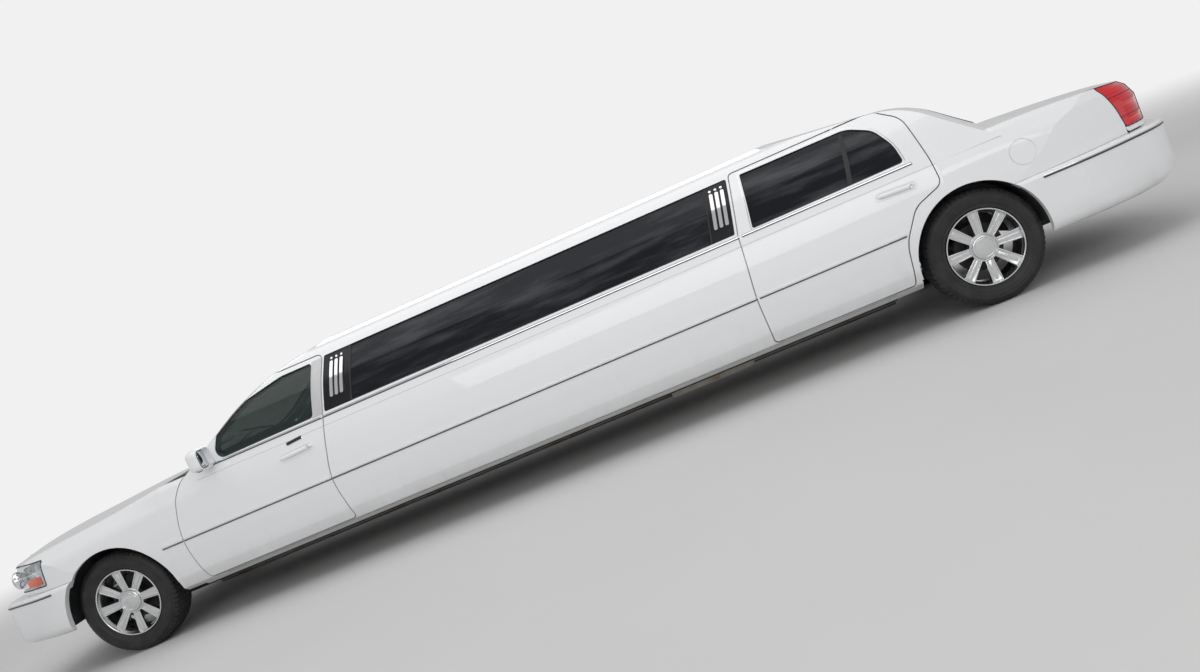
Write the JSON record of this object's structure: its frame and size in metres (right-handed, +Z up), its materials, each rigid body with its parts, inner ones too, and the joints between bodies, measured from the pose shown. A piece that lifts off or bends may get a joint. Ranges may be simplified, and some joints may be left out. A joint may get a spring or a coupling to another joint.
{
  "type": "stretch limousine",
  "caption": "White stretch limousine: long four-door saloon body with dark side glass, opening doors, hood, trunk lid and fuel flap, steered front wheels and rolling wheels.",
  "frame": {"origin": "on the ground, at the middle of the length and width", "axes": "+X forward, +Y to the left, +Z up"},
  "size_m": [8.5185, 2.21, 1.4752],
  "materials": {
    "body_paint": "gloss",
    "frame_paint": "satin",
    "underbody": "matt",
    "dark_trim": "matt",
    "engine_metal": "cast",
    "radiator_core": "matt",
    "exhaust_steel": "dull",
    "clear_glass": "clear, lightly green",
    "dark_glass": "dark tint",
    "gloss_black": "gloss",
    "chrome": "polished",
    "lamp_clear": "clear lens",
    "lamp_red": "gloss lens",
    "seat_leather": "satin",
    "saloon_leather": "satin",
    "cabin_plastic": "matt",
    "cabinet_wood": "lacquered",
    "knuckle_iron": "cast",
    "tyre_rubber": "matt",
    "rim_metal": "bright machined and lacquered"
  },
  "bodies": {
    "body": {"chassis_frame": "frame_paint", "floor_pan": "underbody", "rear_floor": "underbody", "firewall": "underbody", "scuttle_panel": "dark_trim", "engine_block": "engine_metal", "wheel_liners": "dark_trim", "radiator": "radiator_core", "exhaust": "exhaust_steel", "fuel_tank": "underbody", "rear_axle": "frame_paint", "propshaft": "frame_paint", "front_wings": "body_paint", "body_sides": "body_paint", "rear_quarters": "body_paint", "roof_panel": "body_paint", "windscreen_glass": "clear_glass", "rear_window_glass": "dark_glass", "long_windows": "dark_glass", "window_end_panels": "gloss_black", "pillar_bars": "chrome", "front_bumper": "body_paint", "rear_bumper": "body_paint", "grille": "chrome", "headlamps": "lamp_clear", "tail_lamps": "lamp_red", "fuel_pocket": "dark_trim", "front_seats": "seat_leather", "dashboard": "cabin_plastic", "steering_wheel": "cabin_plastic", "partition": "cabin_plastic", "saloon_seats": "saloon_leather", "bar_cabinet": "cabinet_wood"},
    "front_door_left_body": {"front_door_left": "body_paint", "front_door_glass_left": "clear_glass"},
    "front_door_right_body": {"front_door_right": "body_paint", "front_door_glass_right": "clear_glass"},
    "rear_door_left_body": {"rear_door_left": "body_paint", "rear_door_glass_left": "dark_glass"},
    "rear_door_right_body": {"rear_door_right": "body_paint", "rear_door_glass_right": "dark_glass"},
    "hood_body": {"hood": "body_paint"},
    "trunk_lid_body": {"trunk_lid": "body_paint"},
    "fuel_flap_body": {"fuel_flap": "body_paint"},
    "steer_left": {"knuckle_left": "knuckle_iron"},
    "steer_right": {"knuckle_right": "knuckle_iron"},
    "wheel_front_left": {"tyre_front_left": "tyre_rubber", "rim_front_left": "rim_metal"},
    "wheel_front_right": {"tyre_front_right": "tyre_rubber", "rim_front_right": "rim_metal"},
    "wheel_rear_left": {"tyre_rear_left": "tyre_rubber", "rim_rear_left": "rim_metal"},
    "wheel_rear_right": {"tyre_rear_right": "tyre_rubber", "rim_rear_right": "rim_metal"}
  },
  "joints": [
    {"name": "front_door_left_hinge", "type": "hinge", "parent": "body", "child": "front_door_left_body", "pos_m": [2.54, 0.991, 0.6], "axis": [0, 0, -1], "range_deg": [0, 65]},
    {"name": "front_door_right_hinge", "type": "hinge", "parent": "body", "child": "front_door_right_body", "pos_m": [2.54, -0.991, 0.6], "axis": [0, 0, 1], "range_deg": [0, 65]},
    {"name": "rear_door_left_hinge", "type": "hinge", "parent": "body", "child": "rear_door_left_body", "pos_m": [-1.5085, 0.991, 0.6], "axis": [0, 0, -1], "range_deg": [0, 65]},
    {"name": "rear_door_right_hinge", "type": "hinge", "parent": "body", "child": "rear_door_right_body", "pos_m": [-1.5085, -0.991, 0.6], "axis": [0, 0, 1], "range_deg": [0, 65]},
    {"name": "hood_hinge", "type": "hinge", "parent": "body", "child": "hood_body", "pos_m": [2.672, 0, 0.984], "axis": [0, -1, 0], "range_deg": [0, 50]},
    {"name": "trunk_lid_hinge", "type": "hinge", "parent": "body", "child": "trunk_lid_body", "pos_m": [-3.435, 0, 1.03], "axis": [0, 1, 0], "range_deg": [0, 75]},
    {"name": "fuel_flap_hinge", "type": "hinge", "parent": "body", "child": "fuel_flap_body", "pos_m": [-3.175, 0.984, 0.793], "axis": [0, 0, -1], "range_deg": [0, 100]},
    {"name": "steer_left_turn", "type": "hinge", "parent": "body", "child": "steer_left", "pos_m": [3.1595, 0.7, 0.351], "axis": [0, 0, 1], "range_deg": [-30, 30]},
    {"name": "steer_right_turn", "type": "hinge", "parent": "body", "child": "steer_right", "pos_m": [3.1595, -0.7, 0.351], "axis": [0, 0, 1], "range_deg": [-30, 30]},
    {"name": "wheel_front_left_spin", "type": "hinge", "parent": "steer_left", "child": "wheel_front_left", "pos_m": [3.1595, 0.805, 0.351], "axis": [0, 1, 0], "continuous": true},
    {"name": "wheel_front_right_spin", "type": "hinge", "parent": "steer_right", "child": "wheel_front_right", "pos_m": [3.1595, -0.805, 0.351], "axis": [0, 1, 0], "continuous": true},
    {"name": "wheel_rear_left_spin", "type": "hinge", "parent": "body", "child": "wheel_rear_left", "pos_m": [-2.8775, 0.833, 0.351], "axis": [0, 1, 0], "continuous": true},
    {"name": "wheel_rear_right_spin", "type": "hinge", "parent": "body", "child": "wheel_rear_right", "pos_m": [-2.8775, -0.833, 0.351], "axis": [0, 1, 0], "continuous": true}
  ],
  "couplings": [
    {"joint": "steer_right_turn", "follows": "steer_left_turn", "ratio": 1}
  ]
}
